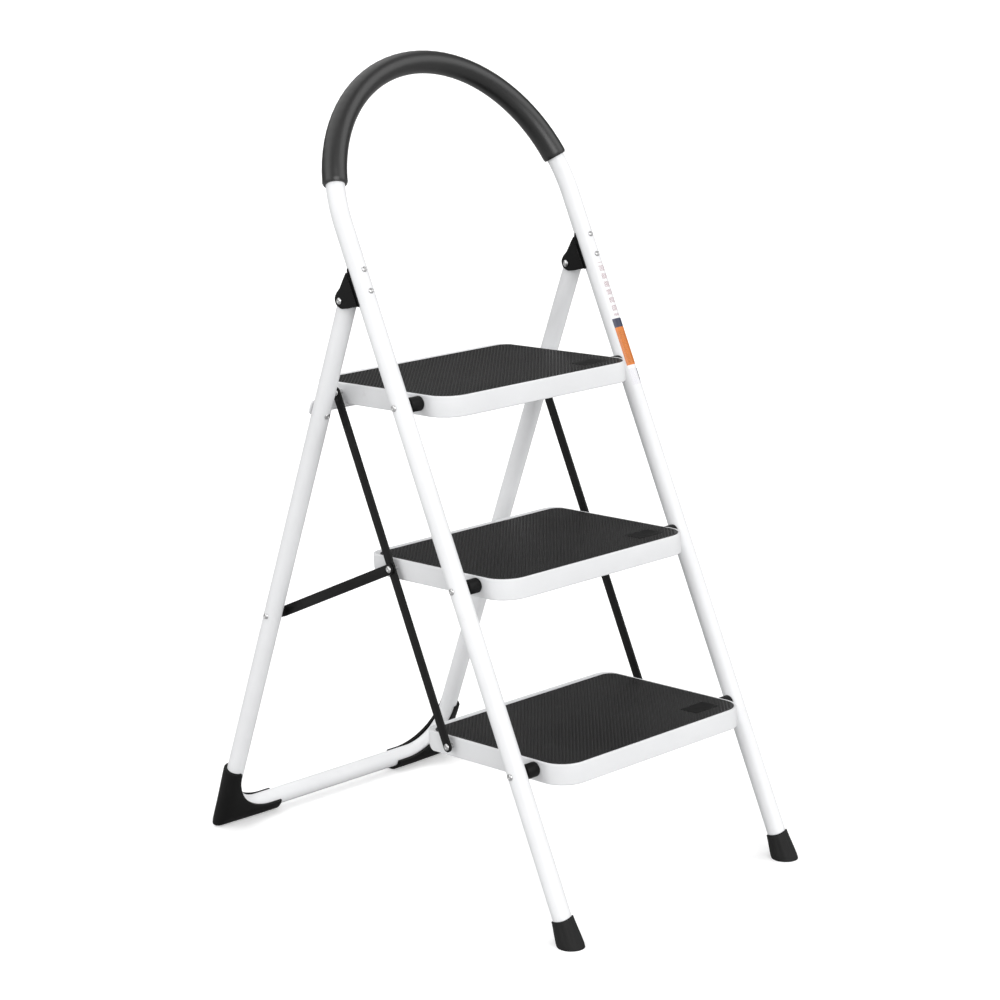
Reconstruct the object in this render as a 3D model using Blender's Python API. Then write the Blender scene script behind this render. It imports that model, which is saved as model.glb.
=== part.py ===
"""Folding step stool: three treads, an arched handle with a foam grip, and a rear frame.

Metres, +Z up. The origin is on the floor under the middle of the stool. +X is to the right
of a person who climbs it, +Y points to the rear frame. "left" in a name is the -X side.
Along a leg, s is the distance up its axis from the floor and n the distance behind it.
"""
import math

import bmesh
import bpy
from mathutils import Vector

# Stance of the opened stool
LEG_X = 0.207                       # half the spacing of the leg axes, front and rear
FRONT_LEAN = math.radians(22.6)     # front legs lean back
REAR_LEAN = math.radians(23.3)      # rear legs lean forward
FRONT_FOOT_Y = -0.3527              # where the front leg axes meet the floor
HINGE_Y, HINGE_Z = 0.0138, 0.789    # pivot between the two frames
REAR_FOOT_Y = HINGE_Y + HINGE_Z * math.tan(REAR_LEAN)
HINGE_S = HINGE_Z / math.cos(REAR_LEAN)

# Tube
TUBE_R = 0.0125
TUBE_WALL = 0.0012
TUBE_SIDES = 12
GAP = 0.0003                        # between pieces that touch
ARCH_START = 0.959                  # s where the straight front leg ends
ARCH_STEPS = 24
GRIP_STEPS = (2, 22)                # the grip covers these steps of the arch
GRIP_R = 0.016
REAR_BEND_R = 0.060
REAR_BEND_STEPS = 8
CROSSBAR_S = 0.021                  # axis height of the rear crossbar, along the leg

# Treads
PIVOT_Z = 0.2068                    # lowest tread pivot
RISE = 0.2257                       # from one tread to the next
TREADS = 3
TREAD_HALF = 0.175
TREAD_FRONT = 0.0525                # from the pivot to the front edge
TREAD_REAR = 0.212                  # from the pivot to the rear edge
TRAY_TOP = 0.0107                   # tray top above the pivot
SKIRT = 0.0270                      # depth of the tray's folded sides
SHEET = 0.0012
FRONT_CORNER, REAR_CORNER, RIM_R = 0.036, 0.020, 0.0032
MAT_INSET, MAT_THICK = 0.0036, 0.0018
MAT_SHORT = 0.008                   # bare strip left behind the mat
CORNER_STEPS = 5

# Links
LINK_REACH = 0.154                  # from a tread's pivot back to its link rivet
LINK_DROP = 0.0005
BAR_HALF, BAR_INNER, BAR_OUTER = 0.0073, 0.1822, 0.1852
BRACE_INNER, BRACE_OUTER = 0.1867, 0.1892
BRACE_HALF = 0.0073
BRACE_PIVOT = 0.492                 # down the rear leg from the hinge

# Brace plate across the rear legs, and the notches that drop over it
PLATE_S, PLATE_HALF, PLATE_THICK = 0.6909, 0.010, 0.0025
PLATE_END = LEG_X + 0.0085
NOTCH_DEPTH, NOTCH_AHEAD, NOTCH_BEHIND = 0.009, 0.0125, 0.0060

# Hinge bracket
CHEEK = (                           # (n, s) of the cheek's outline, from its top corner
    (0.0015, 0.9065), (0.0275, 0.8845), (0.0345, 0.8820), (0.0390, 0.8785),
    (0.0430, 0.8710), (0.0425, 0.8635), (0.0375, 0.8575), (0.0290, 0.8545),
    (0.0180, 0.8530), (0.0015, 0.8520),
)
CHEEK_THICK = 0.0028
WEB_BACK = 0.0162                   # n of the back of the web that hugs the leg
SCREW_S = (0.8944, 0.8654)

# Feet
FOOT_TUBE_END = 0.010               # the leg tube stops this far up inside its foot
FOOT_TOP, FOOT_TOP_R = 0.036, 0.0145
FOOT_WAIST, FOOT_WAIST_R = 0.014, 0.0168
FOOT_EDGE, FOOT_EDGE_R, FOOT_SOLE_R = 0.0030, 0.0178, 0.0172
BOOT_HALF = 0.0163                  # half the rear boot's thickness, front to back
BOOT_SIDE, BOOT_TOP, BOOT_TOE = 0.2245, 0.100, 0.115
BOOT_CORNER = 0.012
BOOT_RIM_R, BOOT_RIM_S = 0.075, 0.0235   # bend and lower height of the walls' rims

# Fasteners
PIN_R = 0.0030
HOLE_R = PIN_R + 0.0004
PIN_SIDES = 8
HINGE_PIN_R = 0.0036
SCREW_R = 0.0024
SPACER_R, SLEEVE_R = 0.010, 0.0070
HEAD = 0.0020                       # height of a bolt's or a screw's head
STEP_NUT = 0.0045
STEP_BOLT_END = 0.1685              # x where a tread bolt ends

FINISHES = {
    "white_enamel": ((0.86, 0.87, 0.88), 0.30, 0.0),
    "black_enamel": ((0.025, 0.025, 0.027), 0.38, 0.0),
    "black_plastic": ((0.018, 0.018, 0.019), 0.45, 0.0),
    "rubber": ((0.022, 0.022, 0.023), 0.75, 0.0),
    "mat": ((0.028, 0.028, 0.030), 0.70, 0.0),
    "foam": ((0.045, 0.045, 0.048), 0.85, 0.0),
    "zinc": ((0.62, 0.62, 0.63), 0.32, 1.0),
}


def front_point(x, s, n=0.0):
    """A point by its distance up the front leg and behind it."""
    sine, cosine = math.sin(FRONT_LEAN), math.cos(FRONT_LEAN)
    return Vector((x, FRONT_FOOT_Y + s * sine + n * cosine, s * cosine - n * sine))


def rear_point(x, s, n=0.0):
    """A point by its distance up the rear leg and behind it."""
    sine, cosine = math.sin(REAR_LEAN), math.cos(REAR_LEAN)
    return Vector((x, REAR_FOOT_Y - s * sine + n * cosine, s * cosine + n * sine))


FRONT_NORMAL = front_point(0, 0, 1) - front_point(0, 0, 0)
REAR_NORMAL = rear_point(0, 0, 1) - rear_point(0, 0, 0)
HINGE = Vector((0, HINGE_Y, HINGE_Z))


def pivot(tread):
    """Tread pivot on the front leg axis; tread 1 is the lowest."""
    return front_point(0, (PIVOT_Z + RISE * (tread - 1)) / math.cos(FRONT_LEAN))


def link_point(tread):
    """Axis of the rivet that joins a tread to the link bars."""
    return pivot(tread) + Vector((0, LINK_REACH, -LINK_DROP))


def brace_point():
    """Axis where a brace link meets the rear leg."""
    return rear_point(0, HINGE_S - BRACE_PIVOT)


# Mesh building


def loft(rings, closed=False):
    """Bridges rings of equal length. Open lofts are capped at both ends."""
    bm = bmesh.new()
    made = [[bm.verts.new(point) for point in ring] for ring in rings]
    pairs = list(zip(made, made[1:]))
    if closed:
        pairs.append((made[-1], made[0]))
    for first, second in pairs:
        count = len(first)
        for i in range(count):
            j = (i + 1) % count
            bm.faces.new((first[i], first[j], second[j], second[i]))
    if not closed:
        bm.faces.new(made[0])
        bm.faces.new(made[-1])
    bmesh.ops.recalc_face_normals(bm, faces=bm.faces)
    return bm


def circle(centre, axis, radius, sides, side=None):
    """Ring of points about an axis. side fixes where the first point lies."""
    axis = axis.normalized()
    across = side.normalized() if side else axis.orthogonal().normalized()
    other = axis.cross(across)
    turns = [2 * math.pi * i / sides for i in range(sides)]
    return [centre + radius * (math.cos(t) * across + math.sin(t) * other) for t in turns]


def swept_rings(path, normal, radius):
    """Rings about a path that lies in one plane, mitred where it bends."""
    turns = [2 * math.pi * k / TUBE_SIDES for k in range(TUBE_SIDES)]
    rings = []
    for i, point in enumerate(path):
        before = (point - path[i - 1]).normalized() if i else None
        after = (path[i + 1] - point).normalized() if i + 1 < len(path) else before
        tangent = ((before or after) + after).normalized()
        across = tangent.cross(normal) / tangent.dot(after)
        rings.append([
            point + radius * (math.cos(t) * normal + math.sin(t) * across) for t in turns
        ])
    return rings


def tube(path, normal, radius, bore):
    """Hollow tube along a path that lies in one plane."""
    outer, inner = (swept_rings(path, normal, r) for r in (radius, bore))
    return loft(outer + inner[::-1], closed=True)


def turned(start, axis, profile, sides=PIN_SIDES):
    """Solid of revolution. profile lists (distance along axis, radius)."""
    axis = axis.normalized()
    return loft([circle(start + axis * along, axis, r, sides) for along, r in profile])


def ring_shape(start, axis, length, radius, bore, sides):
    """Round bush or hexagonal nut with a bore."""
    axis = axis.normalized()
    end = start + axis * length
    return loft(
        [
            circle(start, axis, radius, sides),
            circle(end, axis, radius, sides),
            circle(end, axis, bore, sides),
            circle(start, axis, bore, sides),
        ],
        closed=True,
    )


def prism(outline, depth):
    """Flat outline carried along a straight vector."""
    return loft([outline, [point + depth for point in outline]])


def box(low, high):
    """Block between two corners."""
    base = [(low[0], low[1]), (high[0], low[1]), (high[0], high[1]), (low[0], high[1])]
    outline = [Vector((x, y, low[2])) for x, y in base]
    return prism(outline, Vector((0, 0, high[2] - low[2])))


def bar_outline(x, start, end, half, steps=6):
    """Outline, in a plane of constant x, of a flat bar with round ends."""
    along = (end - start).normalized()
    across = Vector((0, -along.z, along.y))
    points = []
    for centre, turn in ((end, -math.pi / 2), (start, math.pi / 2)):
        for i in range(steps + 1):
            t = turn + math.pi * i / steps
            offset = half * (math.cos(t) * along + math.sin(t) * across)
            points.append(Vector((x, centre.y, centre.z)) + offset)
    return points


def joined(parts):
    """One mesh that holds several separate shapes, for a cutter."""
    whole = bmesh.new()
    for part in parts:
        mesh = bpy.data.meshes.new("part")
        part.to_mesh(mesh)
        part.free()
        whole.from_mesh(mesh)
        bpy.data.meshes.remove(mesh)
    return whole


# Objects


def clear_scene():
    for obj in list(bpy.data.objects):
        bpy.data.objects.remove(obj)


def finish(obj, name):
    """Gives the object its own material."""
    colour, roughness, metallic = FINISHES[name]
    material = bpy.data.materials.new(f"{obj.name}_{name}")
    material.use_nodes = True
    shader = material.node_tree.nodes["Principled BSDF"]
    shader.inputs["Base Color"].default_value = (*colour, 1)
    shader.inputs["Roughness"].default_value = roughness
    shader.inputs["Metallic"].default_value = metallic
    material.diffuse_color = (*colour, 1)
    obj.data.materials.append(material)


def joint_empty(name, axis_point, parent=None):
    """Empty on a joint's axis, for the pieces that move on it."""
    empty = bpy.data.objects.new(name, None)
    empty.empty_display_size = 0.03
    bpy.context.collection.objects.link(empty)
    origin = Vector(parent["at"]) if parent else Vector((0, 0, 0))
    empty.parent = parent
    empty.location = axis_point - origin
    empty["at"] = list(axis_point)
    return empty


def add(name, bm, material, joint, cutter=None):
    """Links a piece to its joint's empty, whose place becomes the piece's origin."""
    bmesh.ops.translate(bm, verts=bm.verts, vec=-Vector(joint["at"]))
    mesh = bpy.data.meshes.new(name)
    bm.to_mesh(mesh)
    bm.free()
    mesh.shade_smooth()
    mesh.set_sharp_from_angle(angle=math.radians(35))
    obj = bpy.data.objects.new(name, mesh)
    bpy.context.collection.objects.link(obj)
    obj.parent = joint
    if material:
        finish(obj, material)
    if cutter:
        tool = add(f"{name}_cutter", cutter, None, joint)
        tool.hide_render = True
        tool.display_type = "WIRE"
        boolean = obj.modifiers.new("holes", "BOOLEAN")
        boolean.operation = "DIFFERENCE"
        boolean.solver = "EXACT"
        boolean.use_self = True
        boolean.object = tool
    return obj


def sides():
    """Left is -1 and right is +1."""
    return (("left", -1), ("right", 1))


def cross_hole(point, x_from, x_to, radius=HOLE_R):
    """Cutter for a hole along X."""
    start = Vector((x_from, point.y, point.z))
    return turned(start, Vector((x_to - x_from, 0, 0)), ((0, radius), (abs(x_to - x_from), radius)))


# Front frame


def front_path():
    """One leg, the arched handle and the other leg."""
    path = [front_point(-LEG_X, FOOT_TUBE_END)]
    for i in range(ARCH_STEPS + 1):
        t = math.pi * i / ARCH_STEPS
        path.append(front_point(-LEG_X * math.cos(t), ARCH_START + LEG_X * math.sin(t)))
    path.append(front_point(LEG_X, FOOT_TUBE_END))
    return path


def front_frame(root):
    path = front_path()
    holes = []
    for _, side in sides():
        reach = 2 * TUBE_R
        for tread in range(1, TREADS + 1):
            holes.append(cross_hole(pivot(tread), side * LEG_X - reach, side * LEG_X + reach))
        for s in SCREW_S:
            start = front_point(side * LEG_X, s, -2 * TUBE_R)
            hole_r = SCREW_R + GAP
            holes.append(turned(start, FRONT_NORMAL, ((0, hole_r), (4 * TUBE_R, hole_r))))
    shell = tube(path, FRONT_NORMAL, TUBE_R, TUBE_R - TUBE_WALL)
    add("front_frame_tube", shell, "white_enamel", root, joined(holes))
    first, last = GRIP_STEPS
    grip = tube(path[1 + first:2 + last], FRONT_NORMAL, GRIP_R, TUBE_R + GAP)
    add("foam_grip", grip, "foam", root)


def front_foot(name, side, root):
    """Rubber boot: a cup round the tube's end, flaring to a sole cut level with the floor."""
    axis = front_point(0, 1) - front_point(0, 0)
    across = Vector((1, 0, 0))

    def ring(s, radius):
        return circle(front_point(side * LEG_X, s), axis, radius, TUBE_SIDES, across)

    def level_ring(height, radius):
        """Ring slid along the leg axis onto a plane parallel to the floor."""
        points = ring(0, radius)
        return [p + axis * ((height - p.z) / axis.z) for p in points]

    boot = loft([
        ring(FOOT_TUBE_END - GAP, TUBE_R + GAP),
        ring(FOOT_TOP, TUBE_R + GAP),
        ring(FOOT_TOP, FOOT_TOP_R),
        ring(FOOT_WAIST, FOOT_WAIST_R),
        level_ring(FOOT_EDGE, FOOT_EDGE_R),
        level_ring(0, FOOT_SOLE_R),
    ])
    add(name, boot, "rubber", root)


def hinge_bracket(name, side, root):
    """Channel that hugs the back of the leg, with two cheeks round the rear leg's end."""
    half = TUBE_R + GAP
    outline = [front_point(side * LEG_X - half - CHEEK_THICK, s, n) for n, s in CHEEK]
    body = prism(outline, Vector((2 * (half + CHEEK_THICK), 0, 0)))

    def channel(n_from, n_to):
        corners = ((0.84, n_from), (0.92, n_from), (0.92, n_to), (0.84, n_to))
        face = [front_point(side * LEG_X - half, s, n) for s, n in corners]
        return prism(face, Vector((2 * half, 0, 0)))

    holes = [channel(-0.01, half), channel(WEB_BACK, 0.05)]
    reach = half + 2 * CHEEK_THICK
    for sign in (-1, 1):
        x = side * LEG_X + sign * reach
        holes.append(cross_hole(HINGE, x, x - sign * 3 * CHEEK_THICK, HINGE_PIN_R + GAP))
    for s in SCREW_S:
        start = front_point(side * LEG_X, s, half - 0.001)
        hole_r = SCREW_R + GAP
        holes.append(turned(start, FRONT_NORMAL, ((0, hole_r), (0.008, hole_r))))
    add(name, body, "black_plastic", root, joined(holes))


def hinge_pin(name, side, root):
    """Riveted pin through both cheeks and the rear leg, with its head on the outside."""
    face = TUBE_R + 2 * GAP + CHEEK_THICK
    outer = Vector((side * (LEG_X + face + 0.0022), HINGE.y, HINGE.z))
    end = 2 * face + 0.0022
    profile = (
        (0, 0.0028), (0.0012, 0.0042), (0.0022, 0.0045), (0.0022, HINGE_PIN_R),
        (end, HINGE_PIN_R), (end, 0.0046), (end + 0.0016, 0.0042),
    )
    add(name, turned(outer, Vector((-side, 0, 0)), profile), "zinc", root)


def bracket_screw(name, side, s, root):
    """Screw with a domed head, through the leg from the front into the bracket's web."""
    start = front_point(side * LEG_X, s, -TUBE_R - GAP - HEAD)
    length = HEAD + GAP + TUBE_R + WEB_BACK
    profile = ((0, 0.0026), (0.0010, 0.0040), (HEAD, 0.0043), (HEAD, SCREW_R), (length, SCREW_R))
    add(name, turned(start, FRONT_NORMAL, profile), "zinc", root)


def step_fasteners(tread, label, side, root):
    """Bolt through leg, spacer and tray; the spacer; and the nut inside the tray."""
    at = pivot(tread)
    inward = Vector((-side, 0, 0))
    start = Vector((side * (LEG_X + TUBE_R + GAP + HEAD), at.y, at.z))
    length = abs(start.x) - STEP_BOLT_END
    profile = ((0, 0.0030), (0.0011, 0.0043), (HEAD, 0.0046), (HEAD, PIN_R), (length, PIN_R))
    add(f"step_bolt_{tread}_{label}", turned(start, inward, profile), "zinc", root)
    start = Vector((side * (LEG_X - TUBE_R - GAP), at.y, at.z))
    length = abs(start.x) - TREAD_HALF - GAP
    bush = ring_shape(start, inward, length, SPACER_R, HOLE_R, TUBE_SIDES)
    add(f"step_spacer_{tread}_{label}", bush, "black_plastic", root)
    start = Vector((side * (TREAD_HALF - SHEET - GAP), at.y, at.z))
    nut = ring_shape(start, inward, STEP_NUT, 0.0055, HOLE_R + 0.0002, 6)
    add(f"step_nut_{tread}_{label}", nut, "zinc", root)


# Treads


def tread_ring(tread, inset, height, short=0.0):
    """Rounded outline of a tread, drawn in by inset, at a height over the pivot."""
    at = pivot(tread)
    half = TREAD_HALF - inset
    front, rear = at.y - TREAD_FRONT + inset, at.y + TREAD_REAR - inset - short
    corners = (
        (half, front, FRONT_CORNER, -90), (half, rear, REAR_CORNER, 0),
        (-half, rear, REAR_CORNER, 90), (-half, front, FRONT_CORNER, 180),
    )
    points = []
    for x, y, radius, turn in corners:
        r = radius - inset
        cx = x - math.copysign(r, x)
        cy = y + (r if y == front else -r)
        for i in range(CORNER_STEPS + 1):
            t = math.radians(turn + 90 * i / CORNER_STEPS)
            points.append(Vector((cx + r * math.cos(t), cy + r * math.sin(t), at.z + height)))
    return points


def tray(tread, joint):
    """Pressed sheet tray: a flat top, a rounded rim and a skirt on all four sides."""
    bottom = TRAY_TOP - SKIRT
    curve = [math.radians(t) for t in (0, 45, 90)]
    shell = loft(
        [tread_ring(tread, SHEET, TRAY_TOP - SHEET), tread_ring(tread, SHEET, bottom)]
        + [tread_ring(tread, 0, bottom)]
        + [
            tread_ring(tread, RIM_R * (1 - math.cos(t)), TRAY_TOP - RIM_R * (1 - math.sin(t)))
            for t in curve
        ]
    )
    holes = []
    for _, side in sides():
        for point in (pivot(tread), link_point(tread)):
            x = side * TREAD_HALF
            holes.append(cross_hole(point, x - 0.005, x + 0.005))
    if tread == TREADS:
        holes += [rest_notch(side) for _, side in sides()]
    add(f"step_tray_{tread}", shell, "white_enamel", joint, joined(holes))


def rest_notch(side):
    """Notch in the top tray's skirt, which drops over the brace plate."""
    centre = rear_point(0, PLATE_S, TUBE_R + GAP + PLATE_THICK / 2)
    bottom = pivot(TREADS).z + TRAY_TOP - SKIRT
    x = side * TREAD_HALF
    low = (x - 0.004, centre.y - NOTCH_AHEAD, bottom - 0.002)
    high = (x + 0.004, centre.y + NOTCH_BEHIND, bottom + NOTCH_DEPTH)
    return box(low, high)


def mat(tread, joint):
    """Thin ribbed mat on the tray."""
    base = TRAY_TOP + GAP
    slab = loft([
        tread_ring(tread, MAT_INSET, base, MAT_SHORT),
        tread_ring(tread, MAT_INSET, base + MAT_THICK - 0.0005, MAT_SHORT),
        tread_ring(tread, MAT_INSET + 0.0006, base + MAT_THICK, MAT_SHORT),
    ])
    add(f"step_mat_{tread}", slab, "mat", joint)


def link_rivet(tread, label, side, joint):
    """Rivet from inside the tray out through the link bar, and the brace link on tread 2."""
    stages = [
        (0.1716, 0.0040), (0.1722, 0.0046), (0.1735, 0.0046), (0.1735, PIN_R),
        (TREAD_HALF + GAP, PIN_R), (TREAD_HALF + GAP, 0.0052),
        (BAR_INNER - GAP, 0.0052), (BAR_INNER - GAP, PIN_R),
    ]
    outer = BAR_OUTER + GAP
    if tread == 2:
        stages += [
            (outer, PIN_R), (outer, 0.0052),
            (BRACE_INNER - GAP, 0.0052), (BRACE_INNER - GAP, PIN_R),
        ]
        outer = BRACE_OUTER + GAP
    stages += [(outer, PIN_R), (outer, 0.0048), (outer + 0.0009, 0.0044), (outer + 0.0017, 0.0030)]
    at = link_point(tread)
    first = stages[0][0]
    profile = [(along - first, r) for along, r in stages]
    start = Vector((side * first, at.y, at.z))
    rivet = turned(start, Vector((side, 0, 0)), profile)
    add(f"link_rivet_{tread}_{label}", rivet, "zinc", joint)


# Links


def link_bar(name, side, joint):
    """Flat bar riveted to the rear of all three treads, parallel to the front leg."""
    low, high = link_point(1), link_point(TREADS)
    outline = bar_outline(side * BAR_INNER, low, high, BAR_HALF)
    bar = prism(outline, Vector((side * (BAR_OUTER - BAR_INNER), 0, 0)))
    holes = [
        cross_hole(link_point(tread), side * BAR_INNER - 0.005, side * BAR_INNER + 0.008)
        for tread in range(1, TREADS + 1)
    ]
    add(name, bar, "black_enamel", joint, joined(holes))


def brace_link(name, side, joint):
    """Short flat link from the middle tread's link rivet to the rear leg."""
    outline = bar_outline(side * BRACE_INNER, link_point(2), brace_point(), BRACE_HALF)
    link = prism(outline, Vector((side * (BRACE_OUTER - BRACE_INNER), 0, 0)))
    holes = [
        cross_hole(point, side * BRACE_INNER - 0.005, side * BRACE_INNER + 0.008)
        for point in (link_point(2), brace_point())
    ]
    add(name, link, "black_enamel", joint, joined(holes))


def brace_nut(name, side, joint):
    """Lock nut with its collar, in the brace link's hole."""
    at = brace_point()
    start = Vector((side * (BRACE_INNER - GAP - 0.004), at.y, at.z))
    profile = ((0, 0.0050), (0.0040, 0.0052), (0.0040, PIN_R), (0.0066, PIN_R))
    add(name, turned(start, Vector((side, 0, 0)), profile, 6), "zinc", joint)


# Rear frame


def rear_path():
    """One leg, the bend, the crossbar, the bend and the other leg."""
    top = HINGE_S + 0.009
    path = [rear_point(-LEG_X, top)]
    for side in (-1, 1):
        for i in range(REAR_BEND_STEPS + 1):
            t = math.pi / 2 * i / REAR_BEND_STEPS
            t = t if side < 0 else math.pi / 2 - t
            x = side * (LEG_X - REAR_BEND_R + REAR_BEND_R * math.cos(t))
            path.append(rear_point(x, CROSSBAR_S + REAR_BEND_R * (1 - math.sin(t))))
    path.append(rear_point(LEG_X, top))
    return path


def rear_frame(joint):
    holes = []
    reach = 2 * TUBE_R
    for _, side in sides():
        x = side * LEG_X
        holes.append(cross_hole(HINGE, x - reach, x + reach, HINGE_PIN_R + GAP))
        holes.append(cross_hole(brace_point(), x - reach, x + reach))
        start = rear_point(x, PLATE_S, -reach)
        holes.append(turned(start, REAR_NORMAL, ((0, HOLE_R), (2 * reach, HOLE_R))))
    shell = tube(rear_path(), REAR_NORMAL, TUBE_R, TUBE_R - TUBE_WALL)
    add("rear_frame_tube", shell, "white_enamel", joint, joined(holes))


def rear_foot(name, side, joint):
    """Corner boot under the rear bend: two walls and a sole, open on the bend's inner side."""
    below = -0.012
    arc = []
    for i in range(REAR_BEND_STEPS + 1):
        t = math.pi / 2 * i / REAR_BEND_STEPS
        x = LEG_X - BOOT_RIM_R + BOOT_RIM_R * math.sin(t)
        arc.append((x, BOOT_RIM_S + BOOT_RIM_R * (1 - math.cos(t))))
    heel = []
    for i in range(5):
        t = math.pi / 2 * i / 4
        x = BOOT_SIDE - BOOT_CORNER * (1 - math.cos(t))
        heel.append((x, BOOT_CORNER * (1 - math.sin(t))))
    outline = [(BOOT_TOE, BOOT_RIM_S)] + arc + [(LEG_X, BOOT_TOP), (BOOT_SIDE, BOOT_TOP)]
    outline += heel + [(heel[-1][0], below), (BOOT_TOE, below)]
    face = [rear_point(side * x, s, -BOOT_HALF) for x, s in outline]
    body = prism(face, REAR_NORMAL * 2 * BOOT_HALF)
    geometry = body.verts[:] + body.edges[:] + body.faces[:]
    cut = bmesh.ops.bisect_plane(
        body, geom=geometry, plane_co=(0, 0, 0), plane_no=(0, 0, -1), clear_outer=True
    )
    edges = [item for item in cut["geom_cut"] if isinstance(item, bmesh.types.BMEdge)]
    bmesh.ops.contextual_create(body, geom=edges)
    bmesh.ops.recalc_face_normals(body, faces=body.faces)
    add(name, body, "black_plastic", joint, bore_cutter(side))


def bore_cutter(side):
    """Solid round rod along the rear tube's bend, wide enough to leave the usual gap."""
    path = [point for point in rear_path() if point.x * side > 0]
    path = path if side < 0 else path[::-1]
    path.append(rear_point(side * 0.05, CROSSBAR_S))
    return loft(swept_rings(path, REAR_NORMAL, TUBE_R + GAP))


def brace_plate(joint):
    """Flat plate across the backs of the rear legs; the top tread rests on it."""
    corners = ((-PLATE_END, -1), (PLATE_END, -1), (PLATE_END, 1), (-PLATE_END, 1))
    face = [rear_point(x, PLATE_S + k * PLATE_HALF, TUBE_R + GAP) for x, k in corners]
    holes = []
    for _, side in sides():
        start = rear_point(side * LEG_X, PLATE_S, TUBE_R - 0.002)
        holes.append(turned(start, REAR_NORMAL, ((0, HOLE_R), (0.008, HOLE_R))))
    plate = prism(face, REAR_NORMAL * PLATE_THICK)
    add("brace_plate", plate, "white_enamel", joint, joined(holes))


def plate_rivet(name, side, joint):
    """Rivet through the rear leg and the brace plate, from the front."""
    start = rear_point(side * LEG_X, PLATE_S, -TUBE_R - GAP - HEAD)
    back = HEAD + 2 * TUBE_R + 3 * GAP + PLATE_THICK
    profile = (
        (0, 0.0028), (0.0010, 0.0042), (HEAD, 0.0045), (HEAD, PIN_R),
        (back, PIN_R), (back, 0.0044), (back + 0.0014, 0.0040),
    )
    add(name, turned(start, REAR_NORMAL, profile), "zinc", joint)


def brace_anchor(label, side, joint):
    """Bolt through the rear leg, and the sleeve that spaces the brace link from it."""
    at = brace_point()
    inward = Vector((-side, 0, 0))
    start = Vector((side * (LEG_X + TUBE_R + GAP + HEAD), at.y, at.z))
    length = abs(start.x) - BRACE_OUTER - 2 * GAP
    profile = ((0, 0.0028), (0.0010, 0.0042), (HEAD, 0.0045), (HEAD, PIN_R), (length, PIN_R))
    add(f"brace_bolt_{label}", turned(start, inward, profile), "zinc", joint)
    start = Vector((side * (LEG_X - TUBE_R - GAP), at.y, at.z))
    length = abs(start.x) - BRACE_OUTER - GAP
    sleeve = ring_shape(start, inward, length, SLEEVE_R, HOLE_R, PIN_SIDES)
    add(f"brace_sleeve_{label}", sleeve, "black_plastic", joint)


def build():
    clear_scene()
    root = joint_empty("front_frame_origin", Vector((0, 0, 0)))
    rear = joint_empty("rear_frame_axis", HINGE, root)
    steps = {t: joint_empty(f"step_{t}_axis", pivot(t), root) for t in range(1, TREADS + 1)}
    front_frame(root)
    for label, side in sides():
        front_foot(f"front_foot_{label}", side, root)
        hinge_bracket(f"hinge_bracket_{label}", side, root)
        hinge_pin(f"hinge_pin_{label}", side, root)
        for place, s in zip(("upper", "lower"), SCREW_S):
            bracket_screw(f"bracket_screw_{place}_{label}", side, s, root)
        for tread in steps:
            step_fasteners(tread, label, side, root)
            link_rivet(tread, label, side, steps[tread])
        bar_joint = joint_empty(f"link_bar_{label}_axis", link_point(TREADS), steps[TREADS])
        link_bar(f"link_bar_{label}", side, bar_joint)
        brace_joint = joint_empty(f"brace_link_{label}_axis", link_point(2), steps[2])
        brace_link(f"brace_link_{label}", side, brace_joint)
        brace_nut(f"brace_nut_{label}", side, brace_joint)
        rear_foot(f"rear_foot_{label}", side, rear)
        plate_rivet(f"plate_rivet_{label}", side, rear)
        brace_anchor(label, side, rear)
    for tread, joint in steps.items():
        tray(tread, joint)
        mat(tread, joint)
    rear_frame(rear)
    brace_plate(rear)


build()
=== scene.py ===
"""Folding step stool: its visible pieces, their finishes, the floor, the lights and the camera.

Metres, +Z up, in the frame of the CAD model. "left" is the -X side. Along a leg, s is the
distance up its axis from the floor and n the distance behind it.
"""

import math

import bmesh
import bpy
import numpy as np
from mathutils import Matrix, Vector


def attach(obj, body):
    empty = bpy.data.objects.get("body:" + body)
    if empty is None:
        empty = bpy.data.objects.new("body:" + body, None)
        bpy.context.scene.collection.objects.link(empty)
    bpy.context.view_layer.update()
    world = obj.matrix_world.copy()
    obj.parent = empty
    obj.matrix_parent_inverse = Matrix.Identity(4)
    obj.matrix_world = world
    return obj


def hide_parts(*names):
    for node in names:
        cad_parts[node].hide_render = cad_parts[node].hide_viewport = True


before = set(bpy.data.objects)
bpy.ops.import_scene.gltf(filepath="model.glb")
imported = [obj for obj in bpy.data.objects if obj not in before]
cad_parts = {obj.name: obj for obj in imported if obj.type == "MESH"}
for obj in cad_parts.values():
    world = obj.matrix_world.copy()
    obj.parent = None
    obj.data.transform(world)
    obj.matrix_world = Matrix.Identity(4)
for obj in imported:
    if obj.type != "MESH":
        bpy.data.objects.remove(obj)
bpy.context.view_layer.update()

# Stance
LEG_X = 0.207
FRONT_LEAN, REAR_LEAN = math.radians(22.6), math.radians(23.3)
FRONT_FOOT_Y = -0.3527
HINGE_Y, HINGE_Z = 0.0138, 0.789
REAR_FOOT_Y = HINGE_Y + HINGE_Z * math.tan(REAR_LEAN)
HINGE_S = HINGE_Z / math.cos(REAR_LEAN)

# Tubes, handle and rear bend
TUBE_R, TUBE_BORE = 0.0125, 0.0113
FRONT_END, REAR_END = 0.010, HINGE_S + 0.009
ARCH_START = 0.959
GRIP_ENDS = (math.radians(15), math.radians(165))
BEND_R, CROSSBAR_S = 0.060, 0.021

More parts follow.
